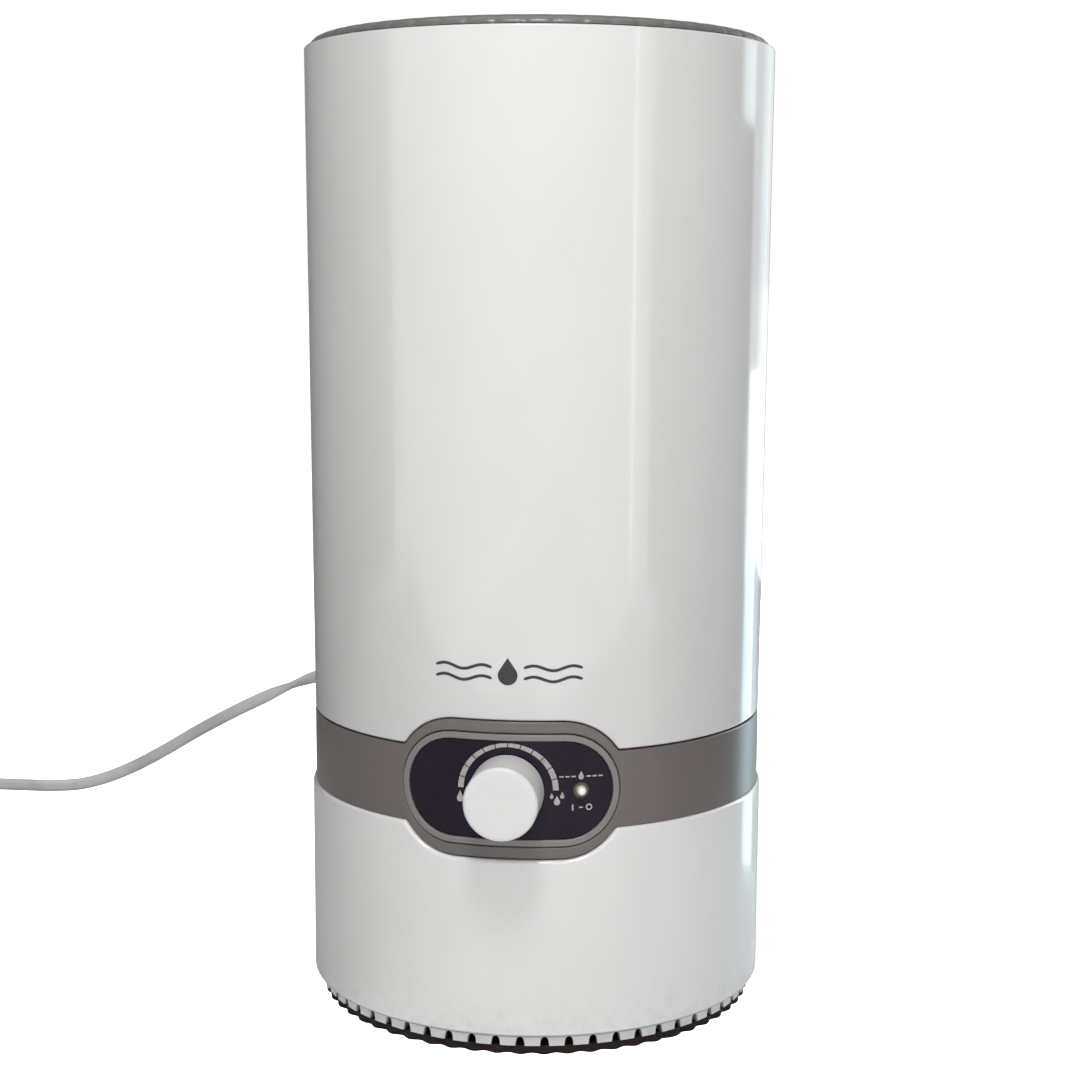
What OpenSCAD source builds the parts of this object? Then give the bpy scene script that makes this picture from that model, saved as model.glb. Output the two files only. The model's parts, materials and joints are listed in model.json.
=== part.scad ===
// Cool mist humidifier: a round base with a control band, a lift-off top-filled tank, its lid and mist nozzle.
// The origin is on the floor under the middle of the body, +Z is up and the controls face -Y.

/* [Body] */
// Outside diameter of the tank at its lower edge
body_d = 184; // [176:1:200]
// Height of the tank's side
tank_h = 265.2; // [220:0.1:300]
// How much wider the tank is at its rim than at its lower edge
tank_flare = 3.8; // [0:0.1:6]
// Wall of the tank and of the casings
wall = 2.4; // [2:0.1:3]
// Height of the white base shell
base_h = 80.6; // [78:0.1:84]
// Height of the grey control band
band_h = 29.6; // [28:0.1:32]

/* [Intake] */
// Number of teeth around the foot of the base
tooth_count = 60; // [40:2:72]
// Height of the teeth
tooth_h = 4.5; // [3:0.1:6]
// Gap between two teeth
tooth_gap = 2.8; // [2:0.1:3.5]

/* [Controls] */
// Width of the raised bezel around the panel
bezel_w = 93; // [90:1:96]
// Height of the bezel
bezel_h = 52.6; // [50:0.1:54]
// Width of the dark panel
panel_w = 80.4; // [76:0.1:82]
// Height of the dark panel
panel_h = 37.5; // [35:0.1:40]
// Diameter of the mist knob
knob_d = 27.8; // [22:0.1:30]
// How far the knob stands out of the panel
knob_out = 20.5; // [14:0.1:24]

/* [Mist path] */
// Inside diameter of the mist tube
tube_id = 38; // [34:1:40]
// Diameter of the ultrasonic disc
disc_d = 20; // [16:1:20]
// Side of the square fan
fan_w = 60; // [58:1:60]

/* [Cord] */
// Width of the flat cord
cord_w = 6.8; // [6:0.1:7]
// Thickness of the flat cord
cord_t = 4.2; // [3.5:0.1:4.5]
// Mean diameter of the stored coil
coil_d = 75; // [70:1:80]

/* [Hidden] */
$fn = 96;
eps = 0.01;
run = 0.05;
white = "whitesmoke";
taupe = "dimgray";
steel = "silver";

// Levels, from the floor up
plate_z = 0.8;
skirt_z = 4.3;
base_z = skirt_z + tooth_h;
base_top = base_z + base_h;
band_top = base_top + band_h;
tank_z = band_top + 0.6;
tank_top = tank_z + tank_h;
lid_z = tank_top + 0.4;
panel_z = base_top + band_h / 2 + 0.6;
base_floor = base_z + 2.5;
basin_z = 96;
basin_floor = basin_z + 2.5;
basin_top = 126.5;
tank_floor_z = 132;
tank_floor_top = tank_floor_z + 2.5;

// Radii
tank_r = body_d / 2;
skin_r = tank_r;
band_in = tank_r - 2.6;
base_r = tank_r + 1.2;
basin_r = 87.4;
tube_r = tube_id / 2;
tube_or = tube_r + 2.5;
disc_r = disc_d / 2;
well_r = 30;

// Places inside the base
fan_y = 50;
duct_r = 11.5;
basin_front = -62;
float_x = 52;
screw_angles = [22.5:90:292.5];
valve_x = -50;
valve_y = 8;
exit_z = 82;
lens_angle = 17.3;
lens_z = panel_z;
board_y = -76;

// Radius of the tank's outside at height z
function tank_radius(z) = tank_r + tank_flare / 2 * (z - tank_z) / tank_h;

// Points of an arc about c, from angle a to angle b
function arc(c, r, a, b, n = 6) = [for (i = [0:n]) c + r * [cos(a + (b - a) * i / n), sin(a + (b - a) * i / n)]];

// Ring between two radii
module ring(ro, ri, z, h) {
    translate([0, 0, z]) difference() {
        cylinder(r = ro, h = h);
        translate([0, 0, -1]) cylinder(r = ri, h = h + 2);
    }
}

// Upright block centred in X and Y
module block(x, y, z, w, d, h) {
    translate([x - w / 2, y - d / 2, z]) cube([w, d, h]);
}

// Rod along Y
module rod_y(x, y, z, r, l) {
    translate([x, y, z]) rotate([-90, 0, 0]) cylinder(r = r, h = l);
}

// Stadium outline pushed back along Y, centred on the panel
module stadium(w, h, y, l) {
    e = (w - h) / 2;
    block(0, y + l / 2, panel_z - h / 2, 2 * e, l, h);
    rod_y(-e, y, panel_z, h / 2, l);
    rod_y(e, y, panel_z, h / 2, l);
}

// Curved skin of the front, between two radii, inside a stadium
module front_skin(w, h, ro, ri) {
    intersection() {
        ring(ro, ri, panel_z - h, 2 * h);
        stadium(w, h, -tank_r - 6, 40);
    }
}

// ---------- Base ----------

// Dark plate that closes the underside, with a seat for each foot
module bottom_plate() {
    color("saddlebrown") difference() {
        translate([0, 0, plate_z]) cylinder(r = 88, h = skirt_z - plate_z);
        feet_shape(1);
        for (a = screw_angles) rotate(a) {
            translate([72, 0, 0]) cylinder(r = 1.6, h = 10);
            translate([72, 0, 0]) cylinder(r = 3.4, h = plate_z + 1.9);
        }
    }
}

// Four round pads near the edge of the plate
module feet_shape(extra) {
    for (a = [45:90:315]) rotate(a) translate([79.4, 0, -extra]) cylinder(r = 9, h = skirt_z + 2 * extra);
}

// Four rubber feet
module rubber_feet() {
    color("gray") feet_shape(0);
}

// Four screws that hold the plate to the housing
module bottom_screws() {
    color(steel) for (a = screw_angles) rotate(a) translate([72, 0, 0]) {
        translate([0, 0, plate_z + 0.1]) cylinder(r = 3, h = 1.8);
        translate([0, 0, plate_z + 1.9]) cylinder(r = 1.5, h = 7);
    }
}

// Ring of teeth that lets the air in all round
module intake_skirt() {
    color(white) difference() {
        ring(90.2, 86.5, skirt_z, tooth_h);
        for (i = [0:tooth_count - 1]) rotate(360 / tooth_count * i - 90)
            block(88, 0, skirt_z - 1, 8, tooth_gap, tooth_h + 0.2);
    }
}

// Floor of the base with the fan's opening, screw posts and board posts
module base_floor() {
    color(white) {
        difference() {
            translate([0, 0, base_z]) cylinder(r = tank_r - 2.7, h = 2.5);
            translate([0, fan_y, 0]) cylinder(r = fan_w / 2 - 3, h = 20);
            for (a = screw_angles) rotate(a) translate([72, 0, 0]) cylinder(r = 1.5 + run, h = base_floor - 1.5);
        }
        for (a = screw_angles) rotate(a) translate([72, 0, skirt_z]) difference() {
            cylinder(r = 4, h = tooth_h);
            translate([0, 0, -1]) cylinder(r = 1.5 + run, h = tooth_h + 2);
        }
        for (x = [-68, -34], y = [-36, 6]) translate([x, y, base_floor]) cylinder(r = 3, h = 46.7);
        for (x = [40, 64], y = [-36, 6]) translate([x, y, base_floor]) cylinder(r = 3, h = 8.7);
    }
}

// White shell of the base, notched in front for the bezel
module base_housing() {
    side = concat([[tank_r - 2.7, base_z]], arc([base_r - 2.1, base_z + 1.2], 1.2, -90, 0),
        [[base_r, base_top - 1.6]], arc([base_r - 1.6, base_top - 1.6], 1.6, 0, 90),
        [[tank_r - 2.7, base_top]]);
    color(white) difference() {
        rotate_extrude() polygon(side);
        stadium(bezel_w + 1, bezel_h + 1, -tank_r - 6, 40);
        rod_y(0, 80, exit_z, 5, 20);
    }
}

// Grey band with the stadium bezel, open in front for the panel
module control_band() {
    color(taupe) difference() {
        union() {
            ring(skin_r, band_in, base_top, band_h);
            ring(band_in + eps, band_in - 1.5, 114.8, 2);
            front_skin(bezel_w, bezel_h, skin_r, band_in);
        }
        stadium(panel_w + 5.4, panel_h + 5.4, -tank_r - 6, 40);
    }
}

// Pale ring set into the bezel around the panel
module bezel_ring() {
    color("gray") difference() {
        front_skin(panel_w + 5.4, panel_h + 5.4, skin_r + 0.3, band_in);
        stadium(panel_w, panel_h, -tank_r - 8, 40);
    }
}

// Dark glossy panel with holes for the knob's shaft and the indicator
module control_panel() {
    color("black") difference() {
        front_skin(panel_w, panel_h, skin_r - 0.4, band_in);
        rod_y(0, -tank_r - 6, panel_z, 3.6, 20);
        rotate(lens_angle) rod_y(0, -tank_r - 6, lens_z, 2, 20);
    }
}

// Small clear dome in the panel
module indicator_lens() {
    color("white") rotate(lens_angle) translate([0, -band_in + 0.6, lens_z]) rotate([90, 0, 0])
        rotate_extrude($fn = 32) polygon(concat([[0, 0], [2, 0]], arc([0, 2.4], 2, 0, 90)));
}

// Lamp behind the dome
module indicator_led() {
    color("ivory") rod_y(tank_r * sin(lens_angle) - 1.1, -83.6, lens_z, 1.5, board_y + 83.6, $fn = 32);
}

// Circuit board behind the panel
module control_board() {
    color("darkgreen") block(0, board_y + 0.8, panel_z - 16, 68, 1.6, 32);
}

// Body of the knob's potentiometer
module potentiometer() {
    color("slategray") difference() {
        union() {
            rod_y(0, board_y - 8, panel_z, 8.5, 8);
            rod_y(0, board_y - 12.6, panel_z, 4.4, 5);
        }
        rod_y(0, board_y - 13, panel_z, 3 + run, 11);
    }
}

// Round push-on knob, hollow behind, with a hub for the shaft
module knob() {
    r = knob_d / 2;
    outside = concat([[3, 0], [5.5, 0], [5.5, knob_out - 4], [r - 2, knob_out - 4], [r - 2, 0], [r, 0]],
        arc([r - 1.2, knob_out - 1.8], 1.2, 0, 90), [[0, knob_out - 0.6], [0, knob_out - 4], [3, knob_out - 4]]);
    color(white) translate([0, -tank_r - 0.6, panel_z]) rotate([90, 0, 0]) rotate_extrude() polygon(outside);
}

// Steel shaft that the knob turns
module knob_shaft() {
    color(steel) rod_y(0, -tank_r - 0.6 - knob_out + 4, panel_z, 3, knob_out + 10.5, $fn = 48);
}

// ---------- Water basin ----------

// Solid of the basin's outline, flat in front where the controls are
module basin_solid(inset, z, h) {
    difference() {
        translate([0, 0, z]) cylinder(r = basin_r - inset, h = h);
        translate([-100, basin_front + inset - 100, z - 1]) cube([200, 100, h + 2]);
    }
}

// Basin with a float post, a valve post and openings for the well and the air
module water_basin() {
    color("gainsboro") difference() {
        union() {
            basin_solid(0, basin_z, basin_top - basin_z);
            difference() {
                ring(band_in - 0.1, basin_r - 1, 116.8, 2.2);
                block(0, basin_front - 50, 110, 200, 100, 12);
            }
        }
        difference() {
            basin_solid(wall, basin_floor, 40);
            translate([float_x, 0, 90]) cylinder(r = 3.5, h = 31);
            translate([valve_x, valve_y, 90]) cylinder(r = 4, h = 27.8);
        }
        translate([0, 0, 90]) cylinder(r = well_r + 2, h = 20);
        translate([0, fan_y, 90]) cylinder(r = duct_r + 2, h = 20);
    }
}

// Well under the basin, with a seat for the disc
module disc_well() {
    color("gainsboro") difference() {
        translate([0, 0, 88]) cylinder(r = well_r + 2, h = basin_floor - 88);
        translate([0, 0, 90.5]) cylinder(r = well_r, h = 20);
        translate([0, 0, 80]) cylinder(r = 13, h = 20);
        for (a = [30:120:270]) rotate(a) translate([19, 0, 80]) cylinder(r = 1.5 + run, h = 9.8);
    }
}

// Column that keeps the water out of the air way
module air_inlet() {
    color("gainsboro") translate([0, fan_y, 0]) ring(duct_r + 2, duct_r, basin_z, 26);
}

// Cap that keeps the float on its post
module float_cap() {
    color("gray") translate([float_x, 0, 121]) cylinder(r = 6.5, h = 2);
}

// Ring that floats up and down on its post
module float_ring() {
    color("white") translate([float_x, 0, 0]) ring(12, 4, basin_floor + 0.5, 12);
}

// Ultrasonic disc at the bottom of the well
module transducer_disc() {
    color(steel) translate([0, 0, 89.6]) cylinder(r = disc_r, h = 1.2);
}

// Rubber ring around the disc
module transducer_seal() {
    color("black") difference() {
        ring(13, disc_r - 1.5, 88, 4);
        translate([0, 0, 89.6]) cylinder(r = disc_r, h = 1.2);
    }
}

// Clamp ring under the well
module transducer_holder() {
    color(steel) difference() {
        ring(23, disc_r - 2, 85.6, 2.4);
        for (a = [30:120:270]) rotate(a) translate([19, 0, 80]) cylinder(r = 1.5 + run, h = 9);
    }
}

// Three screws of the clamp ring
module transducer_screws() {
    color(steel) for (a = [30:120:270]) rotate(a) translate([19, 0, 0]) {
        translate([0, 0, 83.8]) cylinder(r = 3, h = 1.8, $fn = 32);
        translate([0, 0, 85.6]) cylinder(r = 1.5, h = 4, $fn = 32);
    }
}

// ---------- Fan and electrics ----------

// Square fan frame with four arms to the motor
module fan_frame() {
    color("black") translate([0, fan_y, base_floor]) difference() {
        union() {
            difference() {
                block(0, 0, 0, fan_w, fan_w, 20);
                translate([0, 0, -1]) cylinder(r = fan_w / 2 - 1.5, h = 22);
            }
            for (a = [45:90:315]) rotate(a) block(20, 0, 17.5, 19, 4, 2.5);
            translate([0, 0, 17.5]) cylinder(r = 12, h = 2.5);
        }
        for (x = [-1, 1], y = [-1, 1]) translate([x * 25, y * 25, -1]) cylinder(r = 2, h = 22);
    }
}

// Motor and its spindle, hanging from the frame's hub
module fan_motor() {
    color("gray") translate([0, fan_y, base_floor]) {
        translate([0, 0, 11.5]) cylinder(r = 10, h = 6);
        translate([0, 0, 3.5]) cylinder(r = 1.5, h = 8);
    }
}

// Hub and seven blades
module fan_impeller() {
    color("dimgray") translate([0, fan_y, base_floor]) difference() {
        union() {
            difference() {
                translate([0, 0, 2.6]) cylinder(r = 13, h = 12);
                translate([0, 0, 5.4]) cylinder(r = 11.4, h = 12);
            }
            translate([0, 0, 2.6]) cylinder(r = 3.5, h = 8);
            for (a = [0:360 / 7:359]) rotate(a) translate([12.2, 0, 9]) rotate([40, 0, 0])
                block(7.4, 0, -6, 14.8, 1.2, 12);
        }
        translate([0, 0, -1]) cylinder(r = 1.5 + run, h = 20);
    }
}

// Four screws at the fan's corners
module fan_screws() {
    color(steel) translate([0, fan_y, base_floor]) for (x = [-1, 1], y = [-1, 1]) translate([x * 25, y * 25, 0]) {
        cylinder(r = 1.7, h = 20, $fn = 32);
        translate([0, 0, 20]) cylinder(r = 3, h = 1.8, $fn = 32);
    }
}

// Funnel from the fan up to the basin's air inlet
module air_duct() {
    z0 = base_floor + 20;
    color("gainsboro") translate([0, fan_y, 0]) rotate_extrude() polygon([
        [23, z0], [28, z0], [28, z0 + 3], [duct_r + 2, 74], [duct_r + 2, basin_z], [duct_r, basin_z],
        [duct_r, 74], [23, z0 + 3]]);
}

// Board that drives the disc, with its coil and capacitors
module driver_board() {
    color("darkgreen") block(-51, -15, 58, 46, 56, 1.6);
    color("orange") translate([-62, -2, 59.6]) cylinder(r = 7, h = 9);
    color("navy") translate([-44, 2, 59.6]) cylinder(r = 4, h = 12);
    color("navy") translate([-34, -6, 59.6]) cylinder(r = 3, h = 9);
}

// Finned aluminium block on the driver board
module heat_sink() {
    color(steel) {
        block(-51, -30, 59.6, 34, 3, 24);
        for (i = [0:4]) block(-65 + 7 * i, -26, 59.6, 1.6, 5, 24);
    }
}

// Power board with its transformer, capacitor and fuse
module power_supply() {
    color("olive") block(52, -15, 20, 36, 56, 1.6);
    color("gold") block(52, -22, 21.6, 24, 24, 20);
    color("navy") translate([46, 2, 21.6]) cylinder(r = 5, h = 18);
    color("tan") block(62, 1, 21.6, 6, 12, 5);
}

// Tapered sleeve where the cord leaves the back of the base
module strain_relief() {
    color(white) translate([0, 86.6, exit_z]) rotate([-90, 0, 0]) rotate_extrude($fn = 48) polygon([
        [0, 0], [7, 0], [7, 2.4], [5, 2.4], [5, 7.2], [6.4, 7.2], [6.4, 9.6], [5.6, 11], [4, 41.4], [0, 41.4]]);
}

// ---------- Tank ----------

// White side wall, open at both ends, notched in front for the bezel
module tank_shell() {
    top = tank_radius(tank_top);
    color(white) difference() {
        rotate_extrude() polygon([[tank_r - wall, tank_z], [tank_r, tank_z], [top, tank_top - 1],
            [top - 1, tank_top], [top - wall, tank_top]]);
        stadium(bezel_w + 1, bezel_h + 1, -tank_r - 6, 40);
    }
}

// Floor of the tank, with a ring that rests on the basin
module tank_floor() {
    low = tank_radius(tank_floor_z) - wall;
    high = tank_radius(tank_floor_top) - wall;
    color(white) difference() {
        rotate_extrude() polygon([[tube_or, tank_floor_z], [84.6, tank_floor_z], [84.6, basin_top + 0.3],
            [87, basin_top + 0.3], [87, tank_floor_z], [low, tank_floor_z], [high, tank_floor_top],
            [tube_or, tank_floor_top]]);
        translate([valve_x, valve_y, 120]) cylinder(r = 8, h = 30);
    }
}

// Tube that carries the mist up through the tank
module mist_tube() {
    color("gainsboro") ring(tube_or, tube_r, 104, 272);
}

// Soft ring near the top of the tube
module tube_seal() {
    color("gray") ring(tube_or + 1.4, tube_or, 366, 3);
}

// Cage under the floor that guides the valve's stem
module valve_guide() {
    color("gray") translate([valve_x, valve_y, 0]) {
        ring(10.4, 8, 124, tank_floor_z - 124);
        difference() {
            union() {
                translate([0, 0, 124]) cylinder(r = 4.5, h = 5);
                for (a = [0:120:240]) rotate(a) block(6.2, 0, 124, 4.4, 2.4, 2.4);
            }
            translate([0, 0, 120]) cylinder(r = 2.5 + run, h = 12);
        }
    }
}

// Stem and head of the valve, held up by the basin's post
module valve_plunger() {
    color("white") translate([valve_x, valve_y, 0]) {
        translate([0, 0, 118.1]) cylinder(r = 2.5, h = 23);
        translate([0, 0, 118.6]) cylinder(r = 4.5, h = 1.6);
        translate([0, 0, 140.3]) cylinder(r = 10.5, h = 1.8);
    }
}

// Rubber washer under the valve's head
module valve_seal() {
    color("black") translate([valve_x, valve_y, 0]) ring(10.2, 2.5, 138.8, 1.5);
}

// Spring that closes the valve when the tank is lifted
module valve_spring() {
    color(steel) translate([valve_x, valve_y, 0]) ring(4.1, 3, 120.2, 3.8);
}

// ---------- Lid ----------

// Lid with a skirt inside the tank
module lid() {
    outside = concat([[tube_r + 0.7, lid_z + 1.8], [30, lid_z + 0.8], [78, lid_z + 2.8], [86, lid_z + 4.1]],
        arc([89.8, lid_z + 0.6], 3.5, 90, 0), [[93.3, lid_z], [91, lid_z], [91, lid_z - 12],
        [88.8, lid_z - 12], [88.8, lid_z - 1.8], [30, lid_z - 2], [tube_r + 0.7, lid_z - 2]]);
    color("darkgray") rotate_extrude() polygon(outside);
}

// Collar under the lid that fits around the mist tube
module lid_collar() {
    color("darkgray") rotate_extrude() polygon([[tube_r + 0.7, lid_z - 2], [tube_or + 4.3, lid_z - 2],
        [tube_or + 4.3, lid_z - 24], [tube_or + 1.8, lid_z - 24], [tube_or + 1.8, lid_z - 8],
        [tube_r + 0.7, lid_z - 8]]);
}

// Low round nozzle that turns in the lid and sends the mist to one side
module mist_nozzle() {
    r = tube_r + 0.7 - run;
    z = lid_z + 2.4;
    color("gray") difference() {
        rotate_extrude() polygon([[r - 2.4, lid_z - 6], [r, lid_z - 6], [r, z], [27, z], [27, z + 2.4],
            [23, z + 7.4], [19, z + 8.4], [0, z + 8.4], [0, z + 6], [15, z + 6], [r - 2.4, z + 3]]);
        block(0, 6, z + 4, 22, 9, 8);
    }
}

// ---------- Cord ----------

coil_x = -392;
coil_y = 221.2;
turn_spread = 4.8;
coil_out = coil_d / 2 + turn_spread + cord_t / 2 + 0.2;
coil_in = coil_d / 2 - turn_spread - cord_t / 2 - 0.2;
coil_h = 2 * cord_w + 0.6;
strap = 0.6;
plug_x = coil_x - coil_d / 2 - turn_spread;

// The cord's middle line, from the sleeve to the coil
route = [
    [0, 128, 82], [0, 143, 82.2], [-3, 158, 82.8], [-10, 172, 83.6], [-21, 185, 84.6], [-35, 196, 85.8],
    [-51, 205, 87], [-68, 212, 87.8], [-86, 217.5, 88.2], [-104, 222, 87.6], [-121, 225.5, 85.8],
    [-136, 228, 82.6], [-150, 230, 78.2], [-166, 232.8, 71.5], [-184, 237.6, 62.5], [-203, 243.8, 52.2],
    [-223, 251.2, 40.4], [-243, 258.6, 27.8], [-263, 264.4, 16.4], [-280, 267, 8.8], [-295, 266.4, 4.6],
    [-310, 264.6, 3.5], [-325, 263.7, 3.5], [-342, 263.5, 3.6], [-359, 263.5, 4], [-375, 263.5, 4.1]
];

// The last stretch, from the coil to the plug
lead = [[plug_x, 207, 11], [plug_x, 200, 10.8], [plug_x, 193, 9.8], [plug_x, 186, 9]];

// Unit vector along v
function unit(v) = v / norm(v);

// Direction of the line p at point i
function along(p, i) = unit(p[min(i + 1, len(p) - 1)] - p[max(i - 1, 0)]);

// Oval tube swept along the line p, its wide side upright
module oval_tube(p, sides = 10) {
    rings = [for (i = [0:len(p) - 1])
        let (t = along(p, i), s = unit(cross(t, [0, 0, 1])), u = cross(s, t))
        for (k = [0:sides - 1])
            p[i] + cord_t / 2 * cos(360 * k / sides) * s + cord_w / 2 * sin(360 * k / sides) * u];
    last = (len(p) - 1) * sides;
    walls = [for (i = [0:len(p) - 2], k = [0:sides - 1])
        let (a = i * sides + k, b = i * sides + (k + 1) % sides)
        [a, b, b + sides, a + sides]];
    ends = [[for (k = [sides - 1:-1:0]) k], [for (k = [0:sides - 1]) last + k]];
    polyhedron(points = rings, faces = concat(walls, ends));
}

// Mains cord from the sleeve to the coil
module power_cord() {
    color(white) oval_tube(route);
}

// Outer shape of the stored coil
module cord_coil() {
    color(white) translate([coil_x, coil_y, 0]) ring(coil_out, coil_in, strap, coil_h);
}

// Strap around one side of the coil
module cord_tie() {
    r = (coil_out + coil_in) / 2;
    w = coil_out - coil_in + 2;
    color("black") translate([coil_x, coil_y - r, 0]) difference() {
        block(0, 0, 0, 6, w, coil_h + 2 * strap);
        intersection() {
            block(0, 0, strap, 8, w, coil_h);
            translate([0, r, 0]) ring(coil_out, coil_in, -1, 30);
        }
    }
}

// Short cord from the coil to the plug
module plug_lead() {
    color(white) oval_tube(lead);
}

// Moulded plug body, with a tapered neck
module plug_body() {
    color(white) {
        block(plug_x, 158, 0, 25, 24, 18);
        translate([plug_x, 170, 9]) rotate([-90, 0, 0]) cylinder(r1 = 8.5, r2 = 4.4, h = 16, $fn = 48);
    }
}

// Two flat blades of the plug
module plug_blades() {
    color(steel) for (x = [-1, 1]) block(plug_x + x * 6.35, 138, 5.85, 1.5, 16, 6.3);
}

bottom_plate();
rubber_feet();
bottom_screws();
intake_skirt();
base_floor();
base_housing();
control_band();
bezel_ring();
control_panel();
indicator_lens();
indicator_led();
control_board();
potentiometer();
knob();
knob_shaft();
water_basin();
disc_well();
air_inlet();
float_cap();
float_ring();
transducer_disc();
transducer_seal();
transducer_holder();
transducer_screws();
fan_frame();
fan_motor();
fan_impeller();
fan_screws();
air_duct();
driver_board();
heat_sink();
power_supply();
strain_relief();
tank_shell();
tank_floor();
mist_tube();
tube_seal();
valve_guide();
valve_plunger();
valve_seal();
valve_spring();
lid();
lid_collar();
mist_nozzle();
power_cord();
cord_coil();
cord_tie();
plug_lead();
plug_body();
plug_blades();
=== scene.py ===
import json
from math import atan2, ceil, cos, degrees, pi, radians, sin, sqrt

import bmesh
import bpy
from mathutils import Matrix, Vector

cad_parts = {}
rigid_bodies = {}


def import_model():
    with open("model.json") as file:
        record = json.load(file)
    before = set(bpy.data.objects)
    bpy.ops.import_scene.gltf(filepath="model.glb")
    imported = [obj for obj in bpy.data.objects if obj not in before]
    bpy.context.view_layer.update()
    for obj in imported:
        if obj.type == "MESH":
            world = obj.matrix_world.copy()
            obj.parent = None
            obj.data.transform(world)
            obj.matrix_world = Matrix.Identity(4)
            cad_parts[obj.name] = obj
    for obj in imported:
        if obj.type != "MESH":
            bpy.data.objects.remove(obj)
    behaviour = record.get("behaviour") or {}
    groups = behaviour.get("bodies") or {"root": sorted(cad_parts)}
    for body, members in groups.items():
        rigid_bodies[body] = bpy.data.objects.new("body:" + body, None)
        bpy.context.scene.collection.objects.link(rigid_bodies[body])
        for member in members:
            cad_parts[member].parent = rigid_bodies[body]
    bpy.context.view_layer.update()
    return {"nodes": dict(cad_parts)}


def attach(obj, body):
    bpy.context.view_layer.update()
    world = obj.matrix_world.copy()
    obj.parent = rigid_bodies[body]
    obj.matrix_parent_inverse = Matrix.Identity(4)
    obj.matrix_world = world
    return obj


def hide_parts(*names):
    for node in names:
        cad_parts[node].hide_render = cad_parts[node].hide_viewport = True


for leftover in list(bpy.data.objects):
    bpy.data.objects.remove(leftover)
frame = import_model()

# ---------- Camera ----------
# The camera stands in front of the humidifier, a little to its right and just under the height of the lid.


def placed(name, data):
    """A new object in the scene for a mesh, lamp or camera."""
    made = bpy.data.objects.new(name, data)
    bpy.context.scene.collection.objects.link(made)
    return made


camera_data = bpy.data.cameras.new("camera")
camera_data.sensor_width = 36
camera_data.lens = 66.67
camera = placed("camera", camera_data)
camera.matrix_world = (
    Matrix.Translation((0.0972, -0.8152, 0.2978))
    @ Matrix.Rotation(radians(6.73), 4, "Z")
    @ Matrix.Rotation(radians(82.33), 4, "X")
    @ Matrix.Rotation(radians(0.245), 4, "Z")
)
bpy.context.scene.camera = camera
bpy.context.scene.view_settings.view_transform = "Standard"

# ---------- Mains cord ----------
# A flat white PVC twin cord leaves a sleeve in the back of the base, falls to the table with one twist in it and
# runs to a coil held by a strap, with the plug beside it. The sheath is extruded, smooth and slightly soft.
mm = 0.001
sheath_width = 6.8 * mm
sheath_depth = 4.2 * mm
route = [
    (0, 128, 82), (0, 143, 82.2), (-3, 158, 82.8), (-10, 172, 83.6), (-21, 185, 84.6), (-35, 196, 85.8),
    (-51, 205, 87), (-68, 212, 87.8), (-86, 217.5, 88.2), (-104, 222, 87.6), (-121, 225.5, 85.8),
    (-136, 228, 82.6), (-150, 230, 78.2), (-166, 232.8, 71.5), (-184, 237.6, 62.5), (-203, 243.8, 52.2),
    (-223, 251.2, 40.4), (-243, 258.6, 27.8), (-263, 264.4, 16.4), (-280, 267, 8.8), (-295, 266.4, 4.6),
    (-310, 264.6, 3.5), (-325, 263.7, 3.5), (-342, 263.5, 3.6), (-359, 263.5, 4), (-375, 263.5, 4.1),
]
lead = [(-434.3, 207, 11), (-434.3, 200, 10.8), (-434.3, 193, 9.8), (-434.3, 186, 9)]
coil_middle = (-392, 221.2)
outer_turn = 42.3
turn_gap = 4.5
layer_low = 4.1
layer_high = 11.0


def coil_turns():
    """The turns of the coil: the lower layer winds inwards, the cord climbs, and the upper layer winds out."""
    points = []
    for i in range(1, 85):
        turn = i / 20
        depth = turn_gap * (turn if turn < 2.125 else 4.25 - turn)
        climb = min(max((turn - 2.0) / 0.3, 0), 1)
        height = layer_low + (layer_high - layer_low) * climb * climb * (3 - 2 * climb)
        angle = radians(90) + 2 * pi * turn
        radius = outer_turn - depth
        points.append((coil_middle[0] + radius * cos(angle), coil_middle[1] + radius * sin(angle), height))
    return points


def flowing(points, step):
    """The same line with points every step, on a smooth curve through the given ones."""
    line = []
    for i in range(len(points) - 1):
        a, b, c, d = (Vector(points[min(max(k, 0), len(points) - 1)]) for k in (i - 1, i, i + 1, i + 2))
        count = max(1, ceil((c - b).length / step))
        for k in range(count):
            t = k / count
            line.append(0.5 * (2 * b + (c - a) * t + (2 * a - 5 * b + 4 * c - d) * t * t
                               + (3 * b - a - 3 * c + d) * t ** 3))
    line.append(Vector(points[-1]))
    return line


def new_piece(name, mesh, slot, body, *nodes):
    """An object at the origin for a mesh in metres, which rides on a body and stands for CAD nodes."""
    piece = placed(name, mesh)
    if nodes:
        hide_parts(*nodes)
    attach(piece, body)
    return piece


def mesh_from(name, bm):
    """A new mesh from bmesh data, which is freed."""
    mesh = bpy.data.meshes.new(name)
    bm.to_mesh(mesh)
    bm.free()
    return mesh


def shaded(mesh, sharp=None):
    """Shades a mesh smooth, up to a sharp angle in degrees if one is given."""
    mesh.polygons.foreach_set("use_smooth", [True] * len(mesh.polygons))
    if sharp:
        mesh.set_sharp_from_angle(angle=radians(sharp))
    return mesh


def smooth_mesh(name, bm, sharp=None):
    """A mesh from bmesh data, its doubles merged and its normals outwards, smooth up to a sharp angle."""
    bmesh.ops.remove_doubles(bm, verts=bm.verts, dist=1e-6)
    bmesh.ops.recalc_face_normals(bm, faces=bm.faces)
    return shaded(mesh_from(name, bm), sharp)


def twist_at(x, start=-140 * mm, length=46 * mm):
    """How far the flat cord has turned about its own line at a place along the table."""
    t = min(max((start - x) / length, 0), 1)
    return pi * t * t * (3 - 2 * t)


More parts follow.
